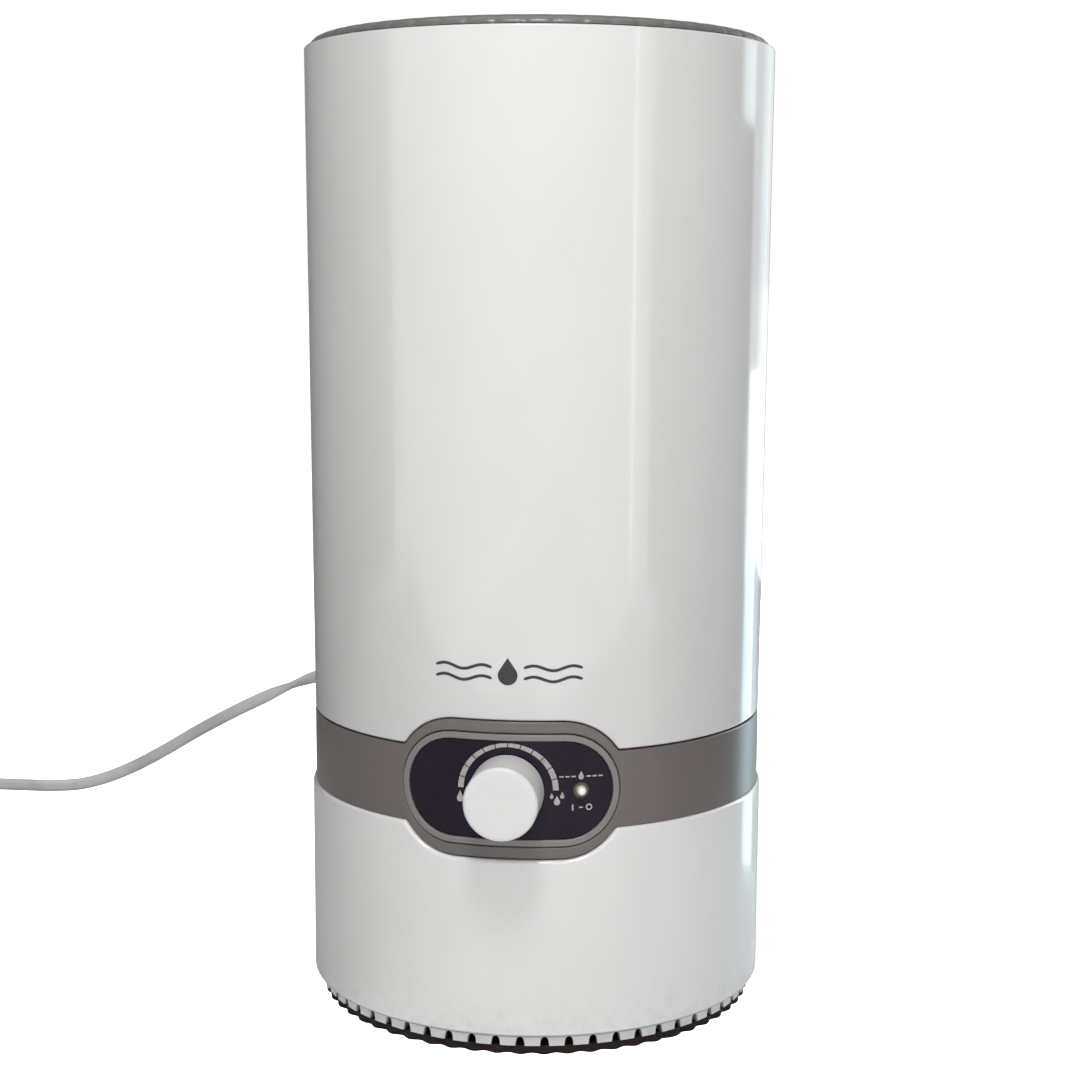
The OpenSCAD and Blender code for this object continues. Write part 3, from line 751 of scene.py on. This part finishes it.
def wrapped_plate(name, islands, radius, depth, edge, spread, steps=4, closed=False):
    """A thin plate with rounded edges, bent round the Z axis, its front outwards; all sizes are in mm.

    islands: lists of outlines (along, height), the first anticlockwise and its holes clockwise. radius: of the front,
    or a function of the height. spread: the radius on which along is measured. closed: whether it meets itself.
    """
    depth, edge, spread = depth * mm, edge * mm, spread * mm
    bm = bmesh.new()
    lean = bm.verts.layers.float_vector.new("lean")
    flat_side = bm.faces.layers.int.new("flat side")
    for island in islands:
        front_edges, back_edges = [], []
        for loop in island:
            loop = [(x * mm, z * mm) for x, z in loop]
            sides = outward_normals(loop)
            rows = []
            for k in range(steps + 1):
                t = pi / 2 * k / steps if edge else pi / 2
                outline = inset_loop(loop, edge * (1 - sin(t))) if edge else loop
                row = []
                for point, side in zip(outline, sides):
                    vert = bm.verts.new((point[0], edge * (1 - cos(t)), point[1]))
                    vert[lean] = (side.x * sin(t), -cos(t), side.y * sin(t))
                    row.append(vert)
                rows.append(row)
                if not edge:
                    break
            row = []
            for vert in rows[-1]:
                deep = bm.verts.new((vert.co.x, depth, vert.co.z))
                deep[lean] = vert[lean]
                row.append(deep)
            rows.append(row)
            for a, b in zip(rows, rows[1:]):
                for k in range(len(a)):
                    n = (k + 1) % len(a)
                    bm.faces.new((a[k], b[k], b[n], a[n]))
            front_edges += [bm.edges.get((rows[0][k - 1], rows[0][k])) for k in range(len(loop))]
            back_edges += [bm.edges.get((rows[-1][k - 1], rows[-1][k])) for k in range(len(loop))]
        for way, edges in ((-1, front_edges), (1, back_edges)):
            made = bmesh.ops.triangle_fill(bm, edges=edges, use_beauty=True)["geom"]
            for item in made:
                if isinstance(item, bmesh.types.BMFace):
                    item[flat_side] = way
                    item.normal_update()
                    if item.normal.y * way < 0:
                        item.normal_flip()
    limit = pi * spread if closed else max(abs(v.co.x) for v in bm.verts)
    strip = spread * radians(2)
    cuts = [((k + 0.37) * strip, 1, False) for k in range(-int(limit / strip) - 1, int(limit / strip) + 1)]
    if closed:
        cuts += [(-limit, -1, True), (limit, 1, True)]
    for x, way, trimmed in cuts:
        bmesh.ops.bisect_plane(bm, geom=bm.verts[:] + bm.edges[:] + bm.faces[:], plane_co=(x, 0, 0),
                               plane_no=(way, 0, 0), clear_outer=trimmed)
    normals = []
    for face in bm.faces:
        for loop in face.loops:
            way = face[flat_side]
            outwards = Vector((0, way, 0)) if way else loop.vert[lean].normalized()
            normals.append(Matrix.Rotation(loop.vert.co.x / spread, 3, "Z") @ outwards)
    for vert in bm.verts:
        angle = vert.co.x / spread
        r = (radius(vert.co.z / mm) if callable(radius) else radius) * mm - vert.co.y
        vert.co = (r * sin(angle), -r * cos(angle), vert.co.z)
    mesh = shaded(mesh_from(name, bm))
    mesh.normals_split_custom_set(normals)
    if closed:
        corner = [tuple(n.vector) for n in mesh.corner_normals]
        weld(mesh)
        if len(corner) == len(mesh.loops):
            mesh.normals_split_custom_set(corner)
    return mesh


tooth_girth = 90.2
tooth_pitch = 2 * pi * tooth_girth / tooth_count
joint_z = 8.8
arch = [(-1.75, 4.3), (-1.45, 6.6)]
arch += [(-1.35 * cos(radians(a)), 6.75 + 1.15 * sin(radians(a))) for a in range(0, 181, 30)]
arch += [(1.45, 6.6), (1.75, 4.3)]
tooth_outline = ([(-tooth_pitch / 2, joint_z)] + [(x - tooth_pitch / 2, z) for x, z in arch if x >= -0.01]
                 + [(x + tooth_pitch / 2, z) for x, z in arch if x <= 0.01] + [(tooth_pitch / 2, joint_z)])
tooth_mesh = wrapped_plate("tooth", [[tooth_outline]], tooth_girth, 3.6, 0.45, tooth_girth, steps=2)


def gloss_white(name, colour, roughness, dust_and_groove_shade=False):
    """Glossy white ABS: a clear smooth skin with a slight waviness, faint handling marks and dust near the table.

    dust_and_groove_shade: adds the dust, and a line of painted shade where the teeth meet the shell, for the shadow in
    the groove there.
    """
    finish = Finish(name, Coat_Roughness=0.06, IOR=1.5)
    wave = finish.noise(26, 2)
    smear = finish.noise(38, 5, stretch=(1, 1, 0.45), distortion=0.8)
    fine = finish.noise(900, 3)
    tone = finish.mix(smear.ramp(0.35, 0.75), colour, tinted(colour, 0.975))
    if dust_and_groove_shade:
        dust = finish.axis("Z").ramp(30 * mm, 6 * mm) * finish.noise(240, 5).ramp(0.4, 0.75)
        tone = finish.mix(dust * 0.3, tone, (0.52, 0.51, 0.49))
        # Painted shade: a dark line along the joint of teeth and shell stands for the shadow in the groove there.
        painted_groove_shade = (finish.axis("Z") - joint_z * mm).size().ramp(0.0014, 0.0003)
        tone = finish.mix(painted_groove_shade * 0.9, tone, (0.20, 0.19, 0.18))
    finish.feed("Base Color", tone)
    finish.feed("Roughness", roughness + smear.ramp(0.45, 0.8) * 0.07 + fine * 0.02)
    finish.feed("Coat Weight", 0.55 - smear.ramp(0.5, 0.85) * 0.25)
    finish.bump(wave + fine * 0.012, 0.00016)
    return finish


# The base's white has dust near the table and a line of painted shade along the joint of teeth and shell.
base_white = gloss_white("base white", (0.770, 0.766, 0.756), 0.17, dust_and_groove_shade=True)
new_piece("intake_teeth", set_around("intake_teeth", tooth_mesh, tooth_count, 0, 0, base_white, 40), "white_gloss",
          "base", "intake_skirt")

# ---------- Base shell ----------
# The lower casing is one glossy white moulding with rounded lips; its upper lip dips in front to clear the bezel.
panel_z = 104.8
bezel_half = 20.2
bezel_round = 26.3


def lip(round_radius, rise, fillet, far, sign=1):
    """An edge from -far to far that runs round one side of the bezel, up for sign 1 and down for -1."""
    centre = bezel_half + sqrt((round_radius + fillet) ** 2 - (rise + fillet) ** 2)
    meet = degrees(atan2(rise + fillet, centre - bezel_half))
    side = arc((bezel_half, 0), round_radius, 90, meet, 14)
    side += arc((centre, rise + fillet), fillet, meet + 180, 270, 5)[1:] + [(far, rise)]
    whole = [(-x, z) for x, z in side[::-1]] + side
    return [(x, panel_z + sign * z) for x, z in whole]


base_girth = 93.2
far = pi * base_girth + 3
base_outline = [(-far, joint_z), (far, joint_z)] + lip(bezel_round + 0.45, 15.3, 2.1, far, -1)[::-1]
base_shell_mesh = wrapped_plate("base_shell", [[base_outline]], base_girth, 3.6, 1.5, base_girth, 6, closed=True)
base_shell = new_piece("base_shell", base_shell_mesh, "white_gloss", "base", "base_housing")
base_white.on(base_shell)

# ---------- Control band ----------
# A taupe grey ABS band lies between base and tank. In front it swells into a stadium-shaped bezel with softened edges
# and small fillets where it meets the band.
band_girth = 92.0
far = pi * band_girth + 3


def stadium(width, height, count=18, clockwise=False):
    """A stadium outline centred on the panel."""
    reach, r = (width - height) / 2, height / 2
    loop = [(x, panel_z + z) for x, z in arc((reach, 0), r, -90, 90, count) + arc((-reach, 0), r, 90, 270, count)]
    return loop[::-1] if clockwise else loop


band_outline = lip(bezel_round, 15.4, 2.6, far, -1) + lip(bezel_round, 14.2, 2.6, far, 1)[::-1]
band_mesh = wrapped_plate("grey_band", [[band_outline, stadium(86.5, 43.6, clockwise=True)]], band_girth, 2.6, 0.7,
                          band_girth, closed=True)
grey_band = new_piece("grey_band", band_mesh, "taupe", "base", "control_band")


def satin_grey(name, colour, roughness):
    """Warm grey ABS from a lightly textured tool: an even satin with a little polish where hands rub it."""
    finish = Finish(name, IOR=1.5)
    spark = finish.noise(3800, 2)
    cloud = finish.noise(30, 2)
    rub = finish.noise(75, 3, stretch=(1, 1, 2.2))
    base = finish.mix(cloud.ramp(0.3, 0.7), tinted(colour, 0.98), tinted(colour, 1.02))
    finish.feed("Base Color", finish.mix(rub.ramp(0.62, 0.85) * 0.04, base, tinted(colour, 1.5)))
    finish.feed("Roughness", roughness + spark * 0.05 - rub.ramp(0.4, 0.9) * (roughness * 0.06))
    finish.bump(spark, 0.0000025)
    return finish


taupe = satin_grey("taupe plastic", (0.150, 0.131, 0.125), 0.27)
taupe.on(grey_band)

# ---------- Bezel ring ----------
# A paler grey ring is pressed into the bezel around the panel; a fine groove separates them.
ring_mesh = wrapped_plate("pale_ring", [[stadium(85.8, 42.9), stadium(80.8, 37.9, clockwise=True)]],
                          band_girth + 0.3, 2.6, 0.5, band_girth, steps=5)
pale_ring = new_piece("pale_ring", ring_mesh, "bezel_grey", "base", "bezel_ring")
satin_grey("pale grey plastic", (0.225, 0.204, 0.195), 0.24).on(pale_ring)

# ---------- Panel ----------
# The insert is a near-black glossy window, violet in tint, curved with the band. The knob's shaft and the indicator
# come through holes in it.


def circle(x, z, r, clockwise=False, count=24):
    """A circle on the panel, height measured from the panel's middle."""
    loop = [(x + r * cos(2 * pi * k / count), panel_z + z + r * sin(2 * pi * k / count)) for k in range(count)]
    return loop[::-1] if clockwise else loop


lens_s = 27.8
panel_girth = band_girth - 0.4
panel_mesh = wrapped_plate("dark_panel", [[stadium(80.4, 37.5), circle(0, 0, 3.8, True, 30),
                                           circle(lens_s, 0, 2.1, True)]], panel_girth, 2.2, 0.25, band_girth, 3)
dark_panel = new_piece("dark_panel", panel_mesh, "panel_black", "base", "control_panel")
dark_gloss = Finish("dark glossy window", IOR=1.5, Specular_IOR_Level=0.16)
haze = dark_gloss.noise(45, 5, distortion=0.7)
speck = dark_gloss.noise(2600, 1).ramp(0.74, 0.8)
tint = dark_gloss.mix(haze.ramp(0.3, 0.8), (0.016, 0.012, 0.021), (0.020, 0.0145, 0.026))
dark_gloss.feed("Base Color", dark_gloss.mix(speck * 0.5, tint, (0.1, 0.1, 0.1)))
dark_gloss.feed("Roughness", 0.10 + haze.ramp(0.5, 0.8) * 0.12 + speck * 0.3)
dark_gloss.bump(haze, 0.00002)
dark_gloss.on(dark_panel)

# ---------- Printing on the panel ----------
# Screen-printed in light grey ink: twelve bars of the mist scale round the knob, drops for less and more mist, and
# plain signs above and below the indicator.


def drop(x, tip, bottom, width, count=16, level=panel_z):
    """A water drop outline with its tip up, heights measured from a level."""
    r = width / 2
    middle = bottom + r
    reach = tip - middle
    lean = degrees(atan2(sqrt(max(reach * reach - r * r, 0.01)), r))
    return [(px, level + pz) for px, pz in [(x, tip)] + arc((x, middle), r, 90 + lean, 450 - lean, count)]


def bar(x, z, width, height):
    """A rounded dash centred at a place, height measured from the panel's middle."""
    loop = rounded_loop(width, height, min(width, height) * 0.3, 3)
    return [(x + px, panel_z + z + pz) for px, pz in loop]


printed = []
scale_reach = 19.3
scale_rise = 0.935


def scale_point(radius, angle):
    """A point of the mist scale, whose arch is a little flatter than a circle."""
    return radius * cos(radians(angle)), panel_z + scale_rise * radius * sin(radians(angle))


for k in range(12):
    low, high = 180 - 15 * k - 0.6, 165 - 15 * k + 0.6
    turns = [low + (high - low) * i / 6 for i in range(7)]
    outside = [scale_point(scale_reach, a) for a in turns[::-1]]
    inside = [scale_point(scale_reach - 1.57 - 0.63 * abs(cos(radians(a))) ** 1.5, a) for a in turns]
    printed.append([outside + inside])
printed += [[drop(-18.5, -1.0, -5.4, 2.6)], [drop(18.6, -2.0, -5.6, 2.4)], [drop(16.6, -0.9, -3.1, 1.4)],
            [drop(20.6, -0.4, -3.1, 1.6)]]
printed += [[drop(lens_s, 7.3, 4.1, 2.1)]]
printed += [[bar(lens_s + side * x, 5.3, 1.7, 0.55)] for side in (-1, 1) for x in (2.9, 5.2, 7.5)]
printed += [[bar(lens_s - 3.2, -6.6, 0.6, 2.4)], [bar(lens_s, -6.6, 1.5, 0.5)],
            [circle(lens_s + 3.1, -6.6, 1.25), circle(lens_s + 3.1, -6.6, 0.75, True)]]
print_mesh = wrapped_plate("panel_print", printed, panel_girth + 0.05, 0.08, 0, band_girth)
panel_print = new_piece("panel_print", print_mesh, "bezel_grey", "base")
ink = Finish("grey ink")
thin = ink.noise(900, 4)
ink.feed("Base Color", ink.mix(thin.ramp(0.25, 0.6), (0.33, 0.31, 0.30), (0.46, 0.44, 0.42)))
ink.feed("Roughness", 0.42 + thin * 0.2)
ink.bump(thin, 0.00001)
ink.on(panel_print)

# ---------- Indicator ----------
# A small diffusing dome of clear plastic stands in the panel, lit from behind by the lamp on the board.
lens_angle = radians(17.3)
lens_way = Vector((sin(lens_angle), -cos(lens_angle), 0))
lens_foot = lens_way * 0.0899 + Vector((0, 0, panel_z * mm))
lens_tip = lens_foot + lens_way * 4.3 * mm
lens_profile = [(0, 0), (2.0, 0), (2.0, 2.3)] + arc((0, 2.3), 2.0, 0, 90, 10)
lens_mesh = turned("lens", lens_profile, 40, axis=lens_way, middle=lens_foot)
lens = new_piece("lens", lens_mesh, "clear_lens", "base", "indicator_lens")
frosted = Finish("frosted dome", IOR=1.49, Emission_Strength=0.10)
grain = frosted.noise(3000, 2)
aside = [frosted.axis(letter) - at for letter, at in zip("XYZ", lens_tip)]
# Painted shade: the dome's colour turns brown towards its foot, while its glow is strongest at the tip.
rim = (sum(distance * distance for distance in aside) ** 0.5).ramp(0.0006, 0.0021)
frosted.feed("Base Color", frosted.mix(rim, (0.95, 0.94, 0.92), (0.62, 0.50, 0.42)))
frosted.feed("Emission Color", frosted.mix(rim, (1.0, 0.98, 0.95), (0.16, 0.09, 0.06)))
frosted.feed("Roughness", 0.2 + grain * 0.15)
frosted.bump(grain, 0.00001)
frosted.on(lens)
# A thin brown ring round the dome is a painted halo: painted shadow and reflection of the dome on the panel.
painted_halo_mesh = wrapped_plate("lens_rim", [[circle(lens_s, 0, 3.0), circle(lens_s, 0, 2.15, True)]], panel_girth + 0.12,
                          0.2, 0.08, band_girth, steps=2)
lens_rim = new_piece("lens_rim", painted_halo_mesh, "bezel_grey", "base")
moulded("painted halo brown", (0.10, 0.072, 0.060), 0.3, shade=0.15).on(lens_rim)

# ---------- Knob ----------
# A plain round push-on knob of satin white ABS on the potentiometer's steel shaft; hollow behind, its rim rounded.
knob_out = 20.5
knob_profile = ([(3, 0), (5.5, 0), (5.5, knob_out - 4), (11.9, knob_out - 4), (11.9, 0)]
                + arc((13.6, 0.3), 0.3, 270, 360, 3) + arc((12.5, knob_out - 1.5), 1.4, 0, 80, 8)
                + [(11.2, knob_out - 0.06), (9, knob_out - 0.16), (5, knob_out - 0.3), (0, knob_out - 0.36),
                   (0, knob_out - 4), (3, knob_out - 4)])
knob_mesh = turned("mist_knob", knob_profile, 96, axis=(0, -1, 0), middle=(0, -0.0926, panel_z * mm), sharp=50)
mist_knob = new_piece("mist_knob", knob_mesh, "white_gloss", "knob", "knob")
knob_white = moulded("knob white", (0.73, 0.73, 0.72), 0.30, shade=0.03, grain=2200, grain_height=0.000006,
                     Coat_Weight=0.15, Coat_Roughness=0.2)
knob_white.on(mist_knob)
zinc.on("knob_shaft")

# ---------- Tank ----------
# The tank wall is one tall glossy white shell, slightly wider at its rim. Its lower edge rises over the bezel and both
# edges are rounded; a dark sign of a drop between two waves is printed above the bezel.
tank_low = 119.6
tank_high = 384.8
tank_foot = 92


def tank_girth(z):
    """The radius of the tank at a height, both in mm."""
    return tank_foot + 1.9 * (z - tank_low) / (tank_high - tank_low)


far = pi * tank_foot + 3
tank_outline = lip(bezel_round + 0.45, 14.8, 2.1, far, 1) + [(far, tank_high), (-far, tank_high)]
tank_mesh = wrapped_plate("tank_wall", [[tank_outline]], tank_girth, 2.4, 0.9, tank_foot, steps=5, closed=True)
tank_wall = new_piece("tank_wall", tank_mesh, "white_gloss", "tank", "tank_shell")
tank_white = gloss_white("tank white", (0.668, 0.664, 0.655), 0.13)
tank_white.on(tank_wall)


def wave(x, z, length, height, weight, count=24):
    """A wavy line of even weight with rounded tips, centred at a place."""
    spine = [Vector((x - length / 2 + length * k / count, z + height * sin(3 * pi * k / count)))
             for k in range(count + 1)]
    upper, lower = [], []
    for k, point in enumerate(spine):
        along = (spine[min(k + 1, count)] - spine[max(k - 1, 0)]).normalized()
        across = Vector((-along.y, along.x)) * weight / 2 * (1 if 0 < k < count else 0.6)
        upper.append(tuple(point + across))
        lower.append(tuple(point - across))
    return lower + upper[::-1]


sign_z = 150
sign = [[drop(0, 5.4, -5, 7.4, 24, sign_z)]]
for side in (-1, 1):
    sign += [[wave(side * 17, sign_z + rise, 22, 0.9, 1.15)] for rise in (-2.6, 1.6)]
sign_mesh = wrapped_plate("tank_sign", sign, lambda z: tank_girth(z) + 0.05, 0.1, 0, tank_foot)
tank_sign = new_piece("tank_sign", sign_mesh, "panel_black", "tank")
black_ink = Finish("black ink", Specular_IOR_Level=0.5)
cover = black_ink.noise(1300, 3)
black_ink.feed("Base Color", black_ink.mix(cover.ramp(0.2, 0.7), (0.018, 0.018, 0.022), (0.035, 0.034, 0.04)))
black_ink.feed("Roughness", 0.32 + cover * 0.15)
black_ink.bump(cover, 0.00001)
black_ink.on(tank_sign)

# ---------- Lid ----------
# The lid is a satin grey moulding that drops into the rim of the tank: a shallow dish with a rounded, finely fluted
# edge for grip, a skirt inside the wall and a collar round the mist tube.
flute_count = 54
lid_profile = ([(20.2, 387.0)] + arc((22.6, 386.2), 0.9, 150, 90, 3)
               + [(30, 386.2), (50, 386.7), (76, 387.7), (82, 388.5)]
               + [(85.0 + 6.6 * sin(radians(a)), 385.4 + 3.5 * cos(radians(a))) for a in range(0, 91, 9)]
               + [(91.4, 385.2), (90.6, 385.2), (91, 373.6), (90.6, 373.2), (89.2, 373.2), (88.8, 373.6),
                  (88.8, 383.4), (30, 383.2), (20.2, 383.2)])


def fluted(r, z, a, inner=85.5 * mm, low=385.3 * mm, depth=0.4 * mm):
    """Cuts shallow flutes into the outer edge of the lid."""
    if r > inner and z > low:
        dip = depth * (0.5 + 0.5 * cos(flute_count * a)) ** 6 * min((r - inner) / (2 * mm), 1)
        r -= dip
        z -= dip / 2
    return r, z


lid_mesh = turned("tank_lid", lid_profile, 648, fluted, sharp=40)
tank_lid = new_piece("tank_lid", lid_mesh, "lid_grey", "lid", "lid")
lid_grey = satin_grey("lid grey plastic", (0.140, 0.129, 0.122), 0.27)
lid_grey.on(tank_lid)


def merged_copy(node):
    """The CAD node's shape as one smooth mesh, its loose triangles joined and its flats merged."""
    bm = bmesh.new()
    bm.from_mesh(frame["nodes"][node].data)
    bmesh.ops.remove_doubles(bm, verts=bm.verts, dist=4e-6)
    bmesh.ops.dissolve_limit(bm, angle_limit=radians(0.5), verts=bm.verts[:], edges=bm.edges[:])
    return mesh_from(node + "_smooth", bm)


def eased(name, node, slot, body, width, finish):
    """A piece in the CAD node's shape with its edges eased by a small bevel."""
    draft = placed(name + "_draft", merged_copy(node))
    ease = draft.modifiers.new("ease", "BEVEL")
    ease.width = width
    ease.segments = 2
    ease.limit_method = "ANGLE"
    ease.angle_limit = radians(50)
    ease.use_clamp_overlap = True
    mesh = plain_copy(draft)
    mesh.name = name
    finish.on(new_piece(name, shaded(mesh, 28), slot, body, node))


lid_grey.on("lid_collar")

# ---------- Mist nozzle ----------
# A low round cap turns on a spigot in the lid and sends the mist out through one slot under a small hood.
nozzle_grey = satin_grey("nozzle grey plastic", (0.165, 0.153, 0.146), 0.25)
eased("mist_cap", "mist_nozzle", "lid_grey", "nozzle", 0.5 * mm, nozzle_grey)

# ---------- Inside the tank ----------
# Tank floor, mist tube with its soft ring, and the float valve: plain injection mouldings, slightly milky, with a
# black washer and a small steel spring.
natural = moulded("natural plastic", (0.74, 0.745, 0.73), 0.36, shade=0.05, grain=1800, grain_height=0.00001,
                  Subsurface_Weight=0.15, Subsurface_Radius=(0.004, 0.004, 0.004))
floor_white = gloss_white("tank floor white", (0.80, 0.805, 0.80), 0.22)
eased("tank_bottom", "tank_floor", "white_gloss", "tank", 0.35 * mm, floor_white)
tube_profile = [(19, 104.4), (19.4, 104), (21.1, 104), (21.5, 104.4), (21.5, 375.4), (20.9, 376), (19.6, 376),
                (19, 375.4)]
tube_mesh = turned("mist_pipe", tube_profile, 96)
mist_pipe = new_piece("mist_pipe", tube_mesh, "natural_plastic", "tank", "mist_tube")
natural.on(mist_pipe)
seal_profile = ([(21.5, 366), (22.4, 366.1)] + arc((22.3, 366.9), 0.6, -60, 60, 4)
                + arc((22.3, 368.1), 0.6, -60, 60, 4) + [(22.4, 368.9), (21.5, 369)])
seal_mesh = turned("pipe_ring", seal_profile, 72)
pipe_ring = new_piece("pipe_ring", seal_mesh, "silicone", "tank", "tube_seal")
silicone = moulded("soft silicone", (0.62, 0.62, 0.60), 0.5, shade=0.08, grain=800, grain_height=0.00001,
                   Subsurface_Weight=0.3, Subsurface_Radius=(0.003, 0.003, 0.003))
silicone.on(pipe_ring)
eased("valve_cage", "valve_guide", "natural_plastic", "tank", 0.2 * mm, natural)
eased("valve_stem", "valve_plunger", "natural_plastic", "valve", 0.2 * mm, natural)
black_rubber = moulded("black rubber", (0.022, 0.022, 0.023), 0.62, shade=0.3, grain=1500, grain_height=0.00003)
black_rubber.on("valve_seal", "transducer_seal")
metal("spring steel", (0.60, 0.60, 0.58), 0.3, (1, 1, 14), 700).on("valve_spring")

# ---------- Water basin ----------
# The basin under the tank carries the well with the ultrasonic disc, the air column, and the float on its post. Hard
# water leaves a faint bloom on it.
basin_plastic = moulded("basin plastic", (0.70, 0.705, 0.69), 0.34, shade=0.05, grain=1700, grain_height=0.00001)
bloom = basin_plastic.noise(150, 6, distortion=1.2).ramp(0.55, 0.72) * basin_plastic.axis("Z").ramp(0.118, 0.099)
basin_plastic.feed("Base Color", basin_plastic.mix(bloom * 0.5, (0.70, 0.705, 0.69), (0.86, 0.86, 0.84)))
basin_plastic.feed("Roughness", 0.32 + bloom * 0.35)
eased("basin", "water_basin", "natural_plastic", "base", 0.3 * mm, basin_plastic)
eased("well", "disc_well", "natural_plastic", "base", 0.3 * mm, basin_plastic)
eased("air_column", "air_inlet", "natural_plastic", "base", 0.4 * mm, basin_plastic)
eased("float_stop", "float_cap", "natural_plastic", "base", 0.4 * mm, natural)
eased("float", "float_ring", "natural_plastic", "float", 0.8 * mm, natural)
disc_face = metal("disc face", (0.74, 0.73, 0.70), 0.22, (1, 1, 1), 500)
ripple = (((disc_face.axis("X") ** 2 + disc_face.axis("Y") ** 2) ** 0.5) * 9000).sine()
disc_face.bump(ripple + disc_face.noise(800), 0.000008)
disc_face.on("transducer_disc")
zinc.on("transducer_holder", "transducer_screws", "fan_screws", "potentiometer")

# ---------- Fan and air duct ----------
# A square black glass-filled nylon fan stands on the base floor over its opening; a funnel leads its air up to the
# basin.
nylon = moulded("black nylon", (0.024, 0.024, 0.026), 0.44, shade=0.35, grain=1300, grain_height=0.00003)
eased("fan_body", "fan_frame", "black_plastic", "base", 0.3 * mm, nylon)
nylon.on("fan_impeller", "fan_motor")
natural.on("air_duct")
gloss_white("inner white", (0.76, 0.765, 0.765), 0.3).on("base_floor")

# ---------- Boards ----------
# Three circuit boards: the panel board behind the knob, the driver board with its heat sink, and the power board.
# Green solder mask over copper tracks; the parts on them keep their own colours.
board = Finish("green solder mask", IOR=1.5, Coat_Weight=0.3)
along = board.axis("X")
across = board.axis("Y")
lengthways = ((along + board.noise(60, 0) * 0.01) * 1500).sine().over(0.45)
tracks = (lengthways + (across * 1100).sine().over(0.72)).ramp(0.1, 0.9)
pads = board.node("ShaderNodeTexVoronoi", {"Vector": board.place, "Scale": 260}).ramp(0.24, 0.18)
mask = board.mix(tracks * 0.6, (0.012, 0.085, 0.035), (0.022, 0.15, 0.06))
board.feed("Base Color", board.mix(pads, mask, (0.62, 0.60, 0.55)))
board.feed("Metallic", pads * 0.8)
board.feed("Roughness", 0.3 + tracks * 0.06 + board.noise(500) * 0.05)
board.bump(tracks + pads * 2, 0.00004)
board.on("control_board", "driver_board", "power_supply")
metal("extruded aluminium", (0.70, 0.71, 0.72), 0.34, (1, 1, 0.05), 1500).on("heat_sink")
lamp_body = Finish("lamp body", Emission_Strength=0.6)
glow = lamp_body.noise(400, 2)
lamp_body.feed("Base Color", lamp_body.mix(glow, (0.85, 0.83, 0.78), (0.95, 0.93, 0.88)))
lamp_body.feed("Emission Color", lamp_body.mix(glow, (0.9, 0.85, 0.75), (1, 0.95, 0.85)))
lamp_body.feed("Roughness", 0.25 + glow * 0.2)
lamp_body.on("indicator_led")
